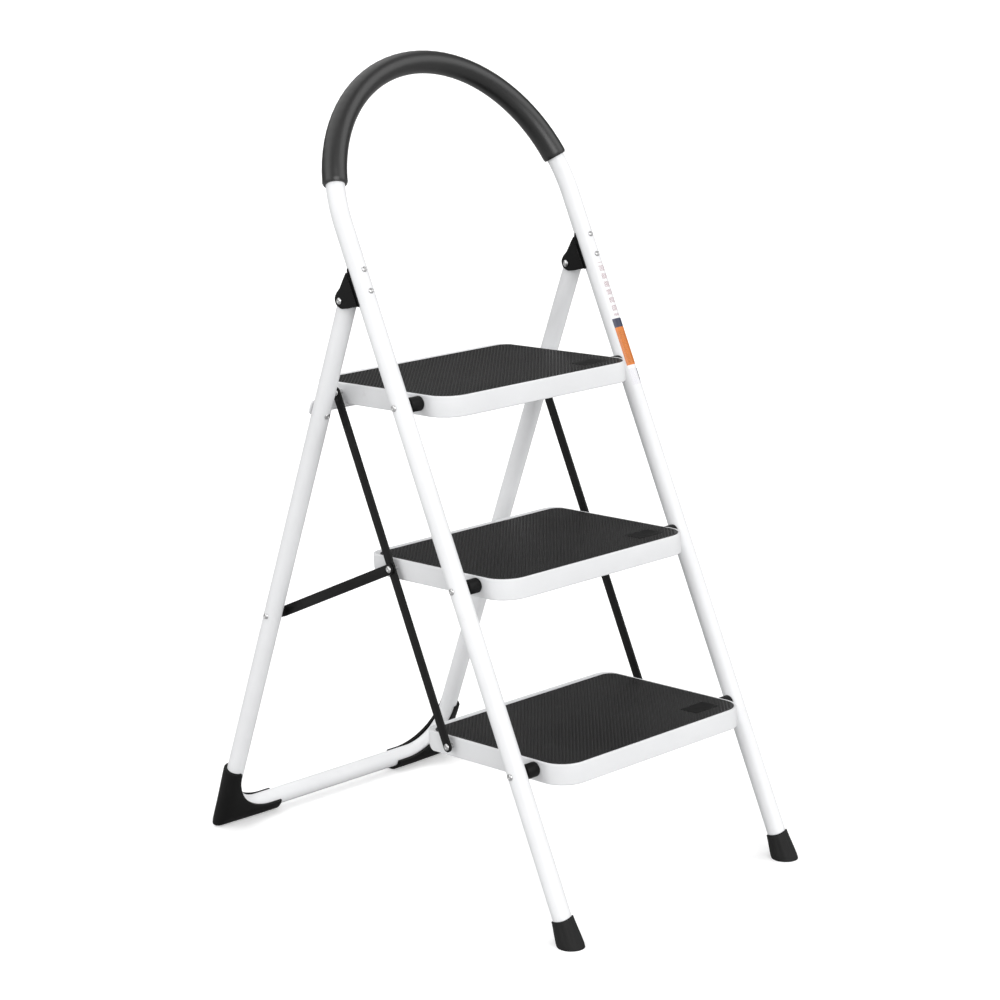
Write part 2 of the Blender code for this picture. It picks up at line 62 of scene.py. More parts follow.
# Treads
TREADS = (1, 2, 3)
PIVOT_Z, RISE = 0.2068, 0.2257
TREAD_HALF, TREAD_FRONT, TREAD_REAR = 0.175, 0.0525, 0.212
TRAY_TOP, SKIRT, SHEET = 0.0107, 0.0270, 0.0012
FRONT_CORNER, REAR_CORNER = 0.036, 0.020
RIM_R, HEM_R = 0.0034, 0.0030
MAT_INSET, MAT_SHORT = 0.0036, 0.008

# Links and plate
LINK_REACH, LINK_DROP = 0.154, 0.0005
LINK_HALF = 0.0072
BAR_X, BRACE_X = (0.1822, 0.1852), (0.1867, 0.1892)
BRACE_S = HINGE_S - 0.492
PLATE_S, PLATE_HALF, PLATE_THICK = 0.6909, 0.010, 0.0025
SCREW_S = (0.8944, 0.8654)

MM = 0.001
SIDES = (("left", -1), ("right", 1))


# Points and curves


def unit(v):
    return v / np.linalg.norm(v, axis=-1, keepdims=True)


def smooth(low, high, x):
    """0 below low, 1 above high, with an S-shaped rise between."""
    t = np.clip((x - low) / (high - low), 0, 1)
    return t * t * (3 - 2 * t)


def on_leg(x, s, n, foot_y, lean):
    x, s, n = np.broadcast_arrays(x, s, n)
    sine, cosine = math.sin(lean), math.cos(lean)
    across = foot_y + s * sine + n * cosine
    return np.stack([x, across, s * cosine - n * sine], -1).astype(float)


def front(x, s, n=0.0):
    """Points by distance up the front leg and behind it."""
    return on_leg(x, s, n, FRONT_FOOT_Y, FRONT_LEAN)


def rear(x, s, n=0.0):
    """Points by distance up the rear leg and behind it."""
    return on_leg(x, s, n, REAR_FOOT_Y, -REAR_LEAN)


FRONT_BACK = front(0, 0, 1) - front(0, 0, 0)
REAR_BACK = rear(0, 0, 1) - rear(0, 0, 0)
HINGE = np.array([0, HINGE_Y, HINGE_Z])
ALONG_X = np.array([1.0, 0, 0])


def pivot(tread):
    return front(0, (PIVOT_Z + RISE * (tread - 1)) / math.cos(FRONT_LEAN))


def link_point(tread):
    return pivot(tread) + np.array([0, LINK_REACH, -LINK_DROP])


def at_x(point, x):
    return np.array([x, point[1], point[2]])


def rounded(corners, radii, steps=6, closed=False):
    """Straight lines between the corners, each corner replaced by an arc of its radius."""
    points = np.array(corners, float)
    count = len(points)
    radii = np.broadcast_to(radii, count)
    runs = []
    for i in range(count):
        here = points[i]
        if radii[i] <= 0 or (not closed and i in (0, count - 1)):
            runs.append(here[None])
            continue
        before, after = points[i - 1] - here, points[(i + 1) % count] - here
        room = 0.49 * min(np.linalg.norm(before), np.linalg.norm(after))
        half = math.acos(np.clip(unit(before) @ unit(after), -1, 1)) / 2
        reach = min(radii[i] / math.tan(half), room)
        start, end = here + reach * unit(before), here + reach * unit(after)
        t = np.linspace(0, 1, steps + 1)[:, None]
        middle = 2 * math.sin(half) * t * (1 - t)
        weights = (1 - t) ** 2 + middle + t**2
        runs.append(((1 - t) ** 2 * start + middle * here + t**2 * end) / weights)
    return np.concatenate(runs)


# Surfaces: each is a grid of points, rows by columns, whose columns go round


def swept(path, normal, radius, turns):
    """Rings of a radius about each point of a path in the plane that normal is square to."""
    tangent = unit(np.gradient(path, axis=0))
    across = unit(np.cross(tangent, normal))[:, None]
    radius = np.broadcast_to(radius, (len(path), len(turns)))[..., None]
    around = np.cos(turns)[:, None] * normal + np.sin(turns)[:, None] * across
    return path[:, None] + radius * around


def circle_angles(count):
    return np.linspace(0, 2 * math.pi, count, endpoint=False)


def turned(start, axis, profile, radii=0.0, count=32):
    """A profile of (distance along, radius), rounded at its corners and spun about an axis."""
    line = rounded(profile, radii, 4)
    axis = unit(np.array(axis, float))
    side = unit(np.cross(axis, [0.3, 0.9, 0.2] if abs(axis[0]) > 0.5 else ALONG_X))
    other = np.cross(axis, side)
    t = circle_angles(count)[:, None]
    ring = np.cos(t) * side + np.sin(t) * other
    return start + line[:, :1, None] * axis + line[:, 1:, None] * ring


def slab(outline, lift, edge, steps=3):
    """A flat outline carried along lift, with its two edges rounded to the radius edge."""
    thick = np.linalg.norm(lift)
    normal = lift / thick
    tangent = unit(np.roll(outline, -1, 0) - np.roll(outline, 1, 0))
    inward = np.cross(normal, tangent)
    turn = np.cross(outline - outline.mean(0), np.roll(outline, -1, 0) - outline.mean(0))
    inward *= np.sign((turn @ normal).sum())
    t = np.linspace(0, math.pi / 2, steps + 1)
    inset = edge * (1 - np.sin(t))
    height = edge * (1 - np.cos(t))
    inset = np.concatenate([inset, inset[::-1]])[:, None, None]
    height = np.concatenate([height, thick - height[::-1]])[:, None, None]
    return outline + inset * inward + height * normal


def bar_outline(start, end, half, count=14):
    """Outline of a flat bar with round ends, in a plane of constant x."""
    along = unit(end - start)
    across = np.cross(ALONG_X, along)
    t = np.linspace(-math.pi / 2, math.pi / 2, count)[:, None]
    cap = half * (np.cos(t) * along + np.sin(t) * across)
    return np.concatenate([end + cap, start - cap])


# Meshes


def sheet_faces(rows, columns, wrap_rows):
    r = np.arange(rows if wrap_rows else rows - 1)[:, None]
    c = np.arange(columns)[None]
    corners = ((r, c), (r, c + 1), (r + 1, c + 1), (r + 1, c))
    index = [(a % rows) * columns + b % columns for a, b in corners]
    spots = [np.broadcast_arrays(b / columns, a / rows) for a, b in corners]
    faces = np.stack(np.broadcast_arrays(*index), -1).reshape(-1, 4)
    uv = np.stack([np.stack(spot, -1) for spot in spots], -2).reshape(-1, 2)
    return faces, uv


def make(name, sheets, body, nodes, material, crease=40):
    """One object from closed sheets: (grid, ends), with ends "flat", "pole" or "loop"."""
    points, faces, uvs, base = [], [], [], 0
    for grid, ends in sheets:
        rows, columns = grid.shape[:2]
        quads, uv = sheet_faces(rows, columns, ends == "loop")
        points.append(grid.reshape(-1, 3))
        faces += (quads + base).tolist()
        uvs.append(uv)
        first = np.arange(columns)
        for row, step in ((0, -1), (rows - 1, 1)) if ends != "loop" else ():
            ring = base + row * columns + first[::step]
            if ends == "flat":
                faces.append(ring.tolist())
                uvs.append(np.zeros((columns, 2)))
                continue
            hub = sum(len(p) for p in points)
            points.append(grid[row].mean(0)[None])
            fan = np.stack([ring, np.roll(ring, -1), np.full(columns, hub)], -1)
            faces += fan.tolist()
            turn = first[::step] / columns
            at = np.full(columns, row / rows)
            tip = np.stack([turn, at, turn, at, turn, at], -1)
            uvs.append(tip.reshape(-1, 2))
        base = sum(len(p) for p in points)
    mesh = bpy.data.meshes.new(name)
    mesh.from_pydata(np.concatenate(points).tolist(), [], faces)
    layer = mesh.uv_layers.new(name="UVMap")
    layer.data.foreach_set("uv", np.concatenate(uvs).astype(np.float32).ravel())
    bm = bmesh.new()
    bm.from_mesh(mesh)
    bmesh.ops.recalc_face_normals(bm, faces=bm.faces)
    bm.to_mesh(mesh)
    bm.free()
    mesh.shade_smooth()
    mesh.set_sharp_from_angle(angle=math.radians(crease))
    mesh.materials.append(material)
    obj = bpy.data.objects.new(name, mesh)
    bpy.context.scene.collection.objects.link(obj)
    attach(obj, body)
    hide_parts(*nodes)
    return obj


# Finishes


class Graph:
    """Short ways to add nodes to a material or a node group."""

    def __init__(self, tree):
        self.tree = tree

    def node(self, kind, inputs=(), **settings):
        made = self.tree.nodes.new(kind)
        for key, value in settings.items():
            setattr(made, key, value)
        for key, value in dict(inputs).items():
            self.set(made.inputs[key], value)
        return made

    def set(self, socket, value):
        if isinstance(value, bpy.types.NodeSocket):
            self.tree.links.new(value, socket)
        else:
            socket.default_value = value

    def math(self, operation, a, b=0.0, clamp=False):
        made = self.node("ShaderNodeMath", {0: a, 1: b}, operation=operation)
        made.use_clamp = clamp
        return made.outputs[0]

    def near(self, value, centre, half):
        """1 where value is within half of centre, and 0 elsewhere."""
        return self.math("LESS_THAN", self.math("ABSOLUTE", self.math("SUBTRACT", value, centre)),
                         half)

    def every(self, first, *others):
        """1 where every mask is 1."""
        for mask in others:
            first = self.math("MULTIPLY", first, mask)
        return first

    def noise(self, where, scale, detail=2.0, rough=0.5):
        inputs = {"Vector": where, "Scale": scale, "Detail": detail, "Roughness": rough}
        return self.node("ShaderNodeTexNoise", inputs).outputs["Fac"]

    def cells(self, where, scale):
        made = self.node("ShaderNodeTexVoronoi", {"Vector": where, "Scale": scale})
        return made.outputs["Distance"]

    def span(self, value, low, high, to_low=0.0, to_high=1.0):
        inputs = {"Value": value, "From Min": low, "From Max": high}
        made = self.node("ShaderNodeMapRange", inputs, interpolation_type="SMOOTHSTEP")
        made.inputs["To Min"].default_value = to_low
        made.inputs["To Max"].default_value = to_high
        return made.outputs["Result"]

    def blend(self, amount, first, second):
        made = self.node("ShaderNodeMix", {"Factor": amount}, data_type="RGBA")
        self.set(made.inputs["A"], first)
        self.set(made.inputs["B"], second)
        return made.outputs["Result"]


def skin_group(name, grains, marks):
    """Group with the height of a surface's grain, and a patchy value for tone and gloss."""
    tree = bpy.data.node_groups.new(name, "ShaderNodeTree")
    for label in ("Height", "Patches", "Marks"):
        tree.interface.new_socket(label, in_out="OUTPUT", socket_type="NodeSocketFloat")
    g = Graph(tree)
    where = g.node("ShaderNodeTexCoord").outputs["Object"]
    height = 0.0
    for scale, share, kind in grains:
        grain = g.cells(where, scale) if kind == "cells" else g.noise(where, scale)
        height = g.math("ADD", g.math("MULTIPLY", grain, share), height)
    out = g.node("NodeGroupOutput")
    g.set(out.inputs["Height"], height)
    g.set(out.inputs["Patches"], g.noise(where, 9.0, 5.0, 0.6))
    rubs = g.span(g.noise(where, marks, 6.0, 0.7), 0.60, 0.74)
    g.set(out.inputs["Marks"], g.math("MULTIPLY", rubs, g.noise(where, marks * 9, 3.0)))
    return tree


def finish(name, skin, tone, marked, gloss, relief, **shader_values):
    """Material: tones between two colours in patches, marks, a gloss range and a grain."""
    material = bpy.data.materials.new(name)
    material.use_nodes = True
    g = Graph(material.node_tree)
    shader = material.node_tree.nodes["Principled BSDF"]
    inner = g.node("ShaderNodeGroup")
    inner.node_tree = skin
    patches = g.span(inner.outputs["Patches"], 0.3, 0.7)
    low, high = ((*colour, 1.0) for colour in tone)
    base = g.blend(patches, low, high)
    g.set(shader.inputs["Base Color"], g.blend(inner.outputs["Marks"], base, (*marked, 1.0)))
    rough = g.span(inner.outputs["Patches"], 0.25, 0.75, *gloss)
    g.set(shader.inputs["Roughness"], rough)
    strength, depth = relief
    inputs = {"Height": inner.outputs["Height"], "Strength": strength, "Distance": depth}
    g.set(shader.inputs["Normal"], g.node("ShaderNodeBump", inputs).outputs["Normal"])
    for key, value in shader_values.items():
        shader.inputs[key.replace("_", " ")].default_value = value
    return material


POWDER = skin_group("powder_coat_skin", ((620, 1.0, "noise"), (2100, 0.35, "noise")), 14)
MOULDED = skin_group("moulded_grain", ((1500, 1.0, "cells"), (4200, 0.4, "noise")), 20)
FOAM = skin_group("foam_skin", ((1100, 0.7, "cells"), (420, 0.8, "noise")), 16)
PLATED = skin_group("plated_skin", ((2600, 1.0, "noise"), (300, 0.5, "noise")), 60)


def grey(level):
    return (level, level, level)


WHITE = finish(
    "white_powder_coat", POWDER, ((0.755, 0.76, 0.77), (0.795, 0.80, 0.81)), grey(0.70),
    (0.38, 0.48), (0.14, 0.00022),
)
# The trays' white coat is the tubes' white made darker: painted shade for the trays' shaded sides
# and fronts.
TRAY_WHITE_PAINTED_SHADE = finish(
    "tray_white_painted_shade", POWDER, ((0.705, 0.71, 0.72), (0.74, 0.745, 0.755)), grey(0.64),
    (0.38, 0.48), (0.14, 0.00022),
)
BLACK_COAT = finish(
    "black_powder_coat", POWDER, (grey(0.005), grey(0.008)), grey(0.03),
    (0.36, 0.46), (0.18, 0.00022), Specular_IOR_Level=0.16,
)
BLACK_PLASTIC = finish(
    "black_moulded_plastic", MOULDED, (grey(0.004), grey(0.007)), grey(0.02),
    (0.42, 0.52), (0.18, 0.00015), Specular_IOR_Level=0.13,
)
RUBBER = finish(
    "black_rubber", MOULDED, (grey(0.008), grey(0.013)), grey(0.03),
    (0.55, 0.70), (0.25, 0.00020), Specular_IOR_Level=0.20,
)
MAT = finish(
    "black_ribbed_mat", MOULDED, (grey(0.009), grey(0.016)), grey(0.035),
    (0.42, 0.56), (0.20, 0.00015), Specular_IOR_Level=0.26,
)
PANEL = finish(
    "smooth_black_panel", MOULDED, (grey(0.003), grey(0.005)), grey(0.012),
    (0.45, 0.60), (0.10, 0.00010), Specular_IOR_Level=0.12,
)
FOAM_SKIN = finish(
    "black_foam", FOAM, (grey(0.005), grey(0.008)), grey(0.015),
    (0.36, 0.42), (0.25, 0.00030), Specular_IOR_Level=0.60,
)
ZINC = finish(
    "zinc_plated_steel", PLATED, (grey(0.52), grey(0.62)), grey(0.40),
    (0.26, 0.36), (0.15, 0.00010), Metallic=1.0,
)


# Front frame


def arch_path(start, end, steps):
    t = np.linspace(start, end, steps)
    return front(-LEG_X * np.cos(t), ARCH_START + LEG_X * np.sin(t))


def front_tube():
    """Ring carried up one leg, round a half circle and down the other leg, wall included."""
    ends = front(np.array([-LEG_X, LEG_X]), FRONT_END)
    path = np.concatenate([ends[:1], arch_path(0, math.pi, 97), ends[1:]])
    turns = circle_angles(48)
    outer = swept(path, FRONT_BACK, TUBE_R, turns)
    inner = swept(path, FRONT_BACK, TUBE_BORE, turns)
    sheets = [(np.concatenate([outer, inner[::-1]]), "loop")]
    make("front_tube", sheets, "front_frame", ["front_frame_tube"], WHITE)


def grip():
    """Foam sleeve: rings along the arch, fullest at its ends and drawn thin over the top."""
    start, end = GRIP_ENDS
    path = arch_path(start, end, 181)
    t = np.linspace(start, end, 181)
    radius = 15.3 * MM + 1.4 * MM * np.cos(t) ** 2
    from_end = LEG_X * np.minimum(t - start, end - t)
    lip = np.sqrt(np.clip(1 - ((1.4 * MM - from_end) / (1.4 * MM)).clip(0) ** 2, 0, 1))
    turns = circle_angles(64)
    inside = np.sin(turns)
    ripple = 0.10 * MM * np.sin(t * 95)[:, None] * np.clip(inside, 0, 1) ** 2
    outer = swept(path, FRONT_BACK, (radius - 1.4 * MM * (1 - lip))[:, None] + ripple, turns)
    inner = swept(path, FRONT_BACK, TUBE_R + 0.1 * MM, turns)
    sheets = [(np.concatenate([outer, inner[::-1]]), "loop")]
    sleeve = make("foam_grip_sleeve", sheets, "front_frame", ["foam_grip"], FOAM_SKIN)


def front_foot(label, side):
    """Fluted cup: at each angle a profile runs from a level sole up to a scalloped rim."""
    t = circle_angles(96)
    profile = rounded(
        [
            (0.0, 14.2), (0.0, 17.2), (0.09, 17.6), (0.42, 16.5), (0.80, 14.9),
            (1.0, 14.3), (1.0, 12.65), (0.55, 12.65),
        ],
        (0, 0.02, 0.1, 0.4, 0.3, 0.012, 0.012, 0), 5,
    )
    rise, radius = profile[:, :1], profile[:, 1:] * MM
    depth = 1.0 * MM * smooth(0.10, 0.30, rise) * smooth(0.92, 0.70, rise)
    outside = (np.arange(len(profile)) < len(profile) * 0.8)[:, None]
    radius = radius - depth * outside * (0.5 + 0.5 * np.cos(12 * t)) ** 2
    n = radius * np.sin(t)
    sole = n * math.tan(FRONT_LEAN)
    rim = 35.2 * MM - 1.3 * MM * np.cos(2 * (t - math.radians(225)))
    cup = front(side * LEG_X + radius * np.cos(t), sole + rise * (rim - sole), n)
    cup[..., 2] = np.maximum(cup[..., 2], 0)
    name = f"front_foot_{label}"
    make(f"{name}_boot", [(cup, "flat")], "front_frame", [name], RUBBER)


def bracket(label, side):
    """Clip round the back of the leg, two proud cheeks with a lobe each, and a web."""
    x = side * LEG_X
    turns = np.linspace(math.radians(14), math.radians(166), 33)
    ring = [(np.cos(turns) * r, np.sin(turns) * r) for r in (14.4 * MM, 12.7 * MM)]
    across = np.concatenate([ring[0][0], ring[1][0][::-1]])
    behind = np.concatenate([ring[0][1], ring[1][1][::-1]])
    low = 0.8507 + 0.12 * (behind + 1 * MM)
    high = 0.9058 - 0.78 * (behind + 1 * MM)
    v = np.array([0, 0.012, 0.5, 0.988, 1])[:, None]
    clip = front(x + across, low + v * (high - low), behind)
    outline = rounded(
        [
            (6.4, 898.6), (13.0, 894.4), (27.5, 884.2), (36.0, 881.0), (43.4, 876.0),
            (44.2, 866.5), (37.5, 859.0), (24.0, 855.0), (6.4, 852.3),
        ],
        (0.5, 30, 14, 14, 9, 9, 12, 40, 0.8), 8, closed=True,
    ) * MM
    sheets = [(clip, "flat")]
    for face in (-1, 1):
        start = front(x + face * 12.9 * MM, outline[:, 1], outline[:, 0])
        sheets.append((slab(start, face * 2.7 * MM * ALONG_X, 0.9 * MM, 4), "flat"))
    web = rounded([(12.9, 890), (16.2, 888), (16.2, 853.5), (12.9, 853.5)], 0.8, 4, True) * MM
    start = front(x - 13.2 * MM, web[:, 1], web[:, 0])
    sheets.append((slab(start, 26.4 * MM * ALONG_X, 0.1 * MM), "flat"))
    name = f"hinge_bracket_{label}"
    make(f"{name}_clip", sheets, "front_frame", [name], BLACK_PLASTIC)


def rivet_head(radius, height, shank, length, far=None):
    """Profile of a rivet: a low dome with a dimple, its shank, and a set far end."""
    line = [
        (0.45 * height, 0.0002), (0.45 * height, 0.20 * radius), (0.12 * height, 0.34 * radius),
        (0.0, 0.52 * radius), (0.30 * height, 0.86 * radius), (0.75 * height, radius),
        (height, radius), (height, shank), (length, shank),
    ]
    if far:
        line += [(length, far), (length + 0.5 * height, 0.95 * far), (length + height, 0.6 * far)]
    return line


def rivet(name, start, axis, radius, height, shank, length, body, node, far=None):
    line = rivet_head(radius, height, shank, length, far)
    sheets = [(turned(start, axis, line, 0.12 * radius, 40), "pole")]
    make(name, sheets, body, [node], ZINC)


def leg_fixings(label, side):
    """Hinge pin, bracket screws, and each tread's bolt, spacer and nut."""
    inward = -side * ALONG_X
    outer = at_x(HINGE, side * (LEG_X + 17.9 * MM))
    node = f"hinge_pin_{label}"
    rivet(f"{node}_rivet", outer, inward, 4.4 * MM, 2.2 * MM, 3.4 * MM, 33.8 * MM, "front_frame",
          node, 5.0 * MM)
    for place, s in zip(("upper", "lower"), SCREW_S):
        node = f"bracket_screw_{place}_{label}"
        start = front(side * LEG_X, s, -TUBE_R - 2.0 * MM)
        rivet(f"{node}_head", start, FRONT_BACK, 3.8 * MM, 2.3 * MM, 2.3 * MM, 30 * MM,
              "front_frame", node)
    for tread in TREADS:
        at = pivot(tread)
        node = f"step_bolt_{tread}_{label}"
        start = at_x(at, side * (LEG_X + TUBE_R + 2.0 * MM))
        rivet(f"{node}_head", start, inward, 4.5 * MM, 2.3 * MM, 2.9 * MM, 52.8 * MM,
              "front_frame", node)
        node = f"step_spacer_{tread}_{label}"
        start = at_x(at, side * (LEG_X - TUBE_R + 0.6 * MM))
        line = [(0, 3.1), (0, 9.8), (19.6, 9.8), (19.6, 3.1)]
        bush = turned(start, inward, np.array(line) * MM, (0, 0.9 * MM, 0.9 * MM, 0), 48)
        make(f"{node}_bush", [(bush, "loop")], "front_frame", [node],
             BLACK_PLASTIC)
        node = f"step_nut_{tread}_{label}"
        start = at_x(at, side * (TREAD_HALF - SHEET - 0.2 * MM))
        make(f"{node}_hex", [(hexagon(start, inward, 5.5 * MM, 4.4 * MM), "loop")],
             "front_frame", [node], ZINC)


def hexagon(start, axis, radius, length):
    """Nut: a ring whose outside is six-sided, its corners cut back at both ends."""
    t = circle_angles(72)
    flat = np.cos(math.pi / 6) / np.cos((t + math.pi / 6) % (math.pi / 3) - math.pi / 6)
    chamfer = np.minimum(radius * flat, radius * 0.93)
    bore = np.full_like(t, 2.95 * MM)
    rings = ((0, bore), (0, chamfer), (0.10, radius * flat), (0.90, radius * flat),
             (1, chamfer), (1, bore))
    axis = unit(np.array(axis, float))
    side = unit(np.cross(axis, [0.0, 0.0, 1.0]))
    other = np.cross(axis, side)
    grid = [
        start + v * length * axis
        + r[:, None] * (np.cos(t)[:, None] * side + np.sin(t)[:, None] * other)
        for v, r in rings
    ]
    return np.stack(grid)


def sticker():
    """Thin patch wrapped round the front of the right leg, with plain bands of colour."""
    t = np.linspace(math.radians(-132), math.radians(-48), 25)
    s = np.linspace(0.676, 0.853, 60)[:, None]
    skins = []
    for lift in (0.16 * MM, 0.02 * MM):
        r = TUBE_R + lift
        skins.append(front(LEG_X + r * np.cos(t), s, r * np.sin(t)))
    grid = np.concatenate([skins[0], skins[1][:, ::-1]], 1)
    make("plain_band_sticker", [(grid, "flat")], "front_frame", [],
         sticker_finish())


def sticker_finish():
    """Bands by height up the leg: white, orange, navy, then white with a column of blocks.

    The blocks, the streaks on the orange and the tint at the foot are noise, not lettering.
    The outer skin takes the first half of U.
    """
    material = bpy.data.materials.new("printed_sticker")
    material.use_nodes = True
    g = Graph(material.node_tree)
    shader = material.node_tree.nodes["Principled BSDF"]
    where = g.node("ShaderNodeTexCoord").outputs["UV"]
    place = g.node("ShaderNodeSeparateXYZ", {0: where}).outputs
    across, up = place["X"], place["Y"]
    ramp = g.node("ShaderNodeValToRGB", {"Fac": up})
    bands = ramp.color_ramp
    bands.interpolation = "CONSTANT"
    paper, orange, navy = (0.78, 0.78, 0.79, 1), (0.62, 0.17, 0.012, 1), (0.02, 0.025, 0.06, 1)
    bands.elements[0].color = paper
    bands.elements[1].position = 0.155
    bands.elements[1].color = orange
    for position, colour in ((0.460, navy), (0.530, paper)):
        bands.elements.new(position).color = colour
    fine = g.node("ShaderNodeMapping", {"Vector": where, "Scale": (30, 190, 1)}).outputs[0]
    grain = g.noise(fine, 1.0, 1.0)
    speckle = g.span(grain, 0.42, 0.56)
    row = g.math("FRACT", g.math("MULTIPLY", up, 15.5))
    blocks = g.every(g.near(row, 0.5, 0.34), g.near(across, 0.26, 0.13), g.span(up, 0.545, 0.55))
    streaks = g.every(g.span(grain, 0.50, 0.62), g.near(up, 0.30, 0.13))
    foot = g.math("LESS_THAN", up, 0.13)
    strip = g.every(g.near(up, 0.075, 0.05), g.near(across, 0.40, 0.035))
    printed = ramp.outputs["Color"]
    for mask, strength, ink in (
        (g.every(blocks, speckle), 0.75, (0.30, 0.13, 0.16, 1)),
        (streaks, 0.55, (0.10, 0.03, 0.01, 1)),
        (g.every(foot, speckle), 0.22, (0.30, 0.26, 0.42, 1)),
        (strip, 1.0, (0.03, 0.03, 0.035, 1)),
    ):
        printed = g.blend(g.math("MULTIPLY", mask, strength), printed, ink)
    g.set(shader.inputs["Base Color"], printed)
    g.set(shader.inputs["Roughness"], g.span(g.noise(where, 40.0), 0.3, 0.7, 0.30, 0.42))
    return material


# Treads


def tread_outline(tread, reach, steps=14):
    """Rounded rectangle of the tread: points, and unit steps that draw it in by one metre."""
    centre_y, z = pivot(tread)[1:]
    front_y, rear_y = centre_y - TREAD_FRONT, centre_y + reach
    arcs = []
    for x, edge, radius, turn in (
        (TREAD_HALF, front_y, FRONT_CORNER, -90), (TREAD_HALF, rear_y, REAR_CORNER, 0),
        (-TREAD_HALF, rear_y, REAR_CORNER, 90), (-TREAD_HALF, front_y, FRONT_CORNER, 180),
    ):
        t = np.radians(turn + np.linspace(0, 90, steps + 1))
        out = np.stack([np.cos(t), np.sin(t), 0 * t], -1)
        y = edge + radius if edge == front_y else edge - radius
        centre = np.array([x - math.copysign(radius, x), y, z])
        arcs.append((centre + radius * out, -out))
    share = np.linspace(0, 1, 14)[1:-1, None]
    points, inward = [], []
    for (arc, drawn_in), (following, _) in zip(arcs, arcs[1:] + arcs[:1]):
        points += [arc, arc[-1] + share * (following[0] - arc[-1])]
        inward += [drawn_in, np.broadcast_to(drawn_in[-1], (len(share), 3))]
    return np.concatenate(points), np.concatenate(inward)


def tray(tread):
    """Pressed sheet: a profile of raised rim, skirt and rolled hem carried round the outline.

    The hem rises at the rear corners, and on the top tread along the part over the plate.
    """
    outline, inward = tread_outline(tread, TREAD_REAR)
    y = outline[:, 1] - pivot(tread)[1]
    lift = 9.0 * MM * smooth(192 * MM, 209 * MM, y)
    if tread == TREADS[-1]:
        lift = np.maximum(lift, 9.4 * MM * smooth(156 * MM, 161 * MM, y))
    top, floor = TRAY_TOP / MM, (TRAY_TOP - SKIRT) / MM
    rim, hem, sheet = RIM_R / MM, HEM_R / MM, SHEET / MM
    crest = top + 0.6
    outer = rounded(
        [(rim + 4, top), (3.5, top), (3.1, crest), (0, crest), (0, floor), (hem + 0.6, floor)],
        (0, 0.3, 0.4, rim - 0.8, hem, 0), 7,
    )
    inner = rounded(
        [(hem + 0.6, floor + 0.9), (sheet, floor + 0.9), (sheet, top - sheet),
         (rim + 4, top - sheet)],
        (0, hem - 0.9, rim - sheet, 0), 6,
    )
    profile = np.concatenate([outer, inner]) * MM
    low = smooth(-9 * MM, -14 * MM, profile[:, 1])[:, None]
    height = profile[:, 1:] + lift * low
    up = np.array([0, 0, 1.0])
    grid = outline + profile[:, :1, None] * inward + height[..., None] * up
    node = f"step_tray_{tread}"
    # The shell takes the darker white, which paints in shade on the whole tray.
    make(f"{node}_shell", [(grid, "flat")], f"step_{tread}", [node], TRAY_WHITE_PAINTED_SHADE)


STUD_PITCH = 6.4 * MM
BLANK = (0.1012, 0.1465, -0.0262, 0.0030)   # the mat's smooth panel: x and y from the pivot
MAT_FACE = 0.45 * MM                        # the mat's face between its studs, above its base


def studs(tread, base):
    """Staggered rows of small lozenges, as the corners of each one's foot and top."""
    y = pivot(tread)[1]
    columns = np.arange(-26, 27)
    rows = np.arange(-16, 64)
    row, column = np.meshgrid(rows, columns, indexing="ij")
    x = (column + 0.5 * (row % 2)) * STUD_PITCH
    v = row * STUD_PITCH / 2
    keep = inside_tread(x, v, MAT_INSET + 3.4 * MM)
    keep &= ~((x > BLANK[0]) & (x < BLANK[1]) & (v > BLANK[2]) & (v < BLANK[3]))
    centre = np.stack([x[keep], y + v[keep], np.full(keep.sum(), base)], -1)
    t = circle_angles(4)
    foot = np.stack([2.5 * MM * np.cos(t), 1.25 * MM * np.sin(t), 0 * t - 0.1 * MM], -1)
    top = np.stack([1.5 * MM * np.cos(t), 0.55 * MM * np.sin(t), 0 * t + 0.8 * MM], -1)
    return centre[:, None] + np.concatenate([foot, top])


def inside_tread(x, v, inset):
    """True where (x, v) is inside the tread's outline drawn in by inset."""
    half = TREAD_HALF - inset
    middle = (TREAD_REAR - MAT_SHORT - TREAD_FRONT) / 2
    length = (TREAD_REAR - MAT_SHORT + TREAD_FRONT) / 2 - inset
    radius = np.where(v < middle, FRONT_CORNER, REAR_CORNER) - inset
    dx = np.abs(x) - half + radius
    dy = np.abs(v - middle) - length + radius
    outside = np.hypot(np.clip(dx, 0, None), np.clip(dy, 0, None))
    return (outside + np.minimum(np.maximum(dx, dy), 0)) < radius


def mat(tread):
    """Thin pad with a raised border line, lozenges all over it, and one smooth panel."""
    outline, inward = tread_outline(tread, TREAD_REAR - MAT_SHORT)
    base = TRAY_TOP + 0.1 * MM
    profile = rounded(
        [(3.9, 0), (3.7, 0.1), (3.7, 0.5), (4.4, 0.75), (5.8, 0.75), (6.3, 0.45), (12, 0.45)],
        (0, 0, 0.2, 0.2, 0.3, 0.2, 0), 4,
    ) * MM
    up = np.array([0, 0, 1.0])
    grid = outline + profile[:, :1, None] * inward + (base + profile[:, 1:, None]) * up
    node = f"step_mat_{tread}"
    pad = make(f"{node}_pad", [(grid, "flat")], f"step_{tread}", [node], MAT)
    add_studs(pad, studs(tread, pivot(tread)[2] + base + MAT_FACE))
    left, right, near, far = BLANK
    outline = rounded([(left, near), (right, near), (right, far), (left, far)], 2 * MM, 4, True)
    outline = np.append(outline, np.full((len(outline), 1), base + MAT_FACE - 0.05 * MM), 1)
    sheets = [(slab(pivot(tread) + outline, 0.5 * MM * up, 0.2 * MM), "flat")]
    make(f"{node}_plain_panel", sheets, f"step_{tread}", [node], PANEL)


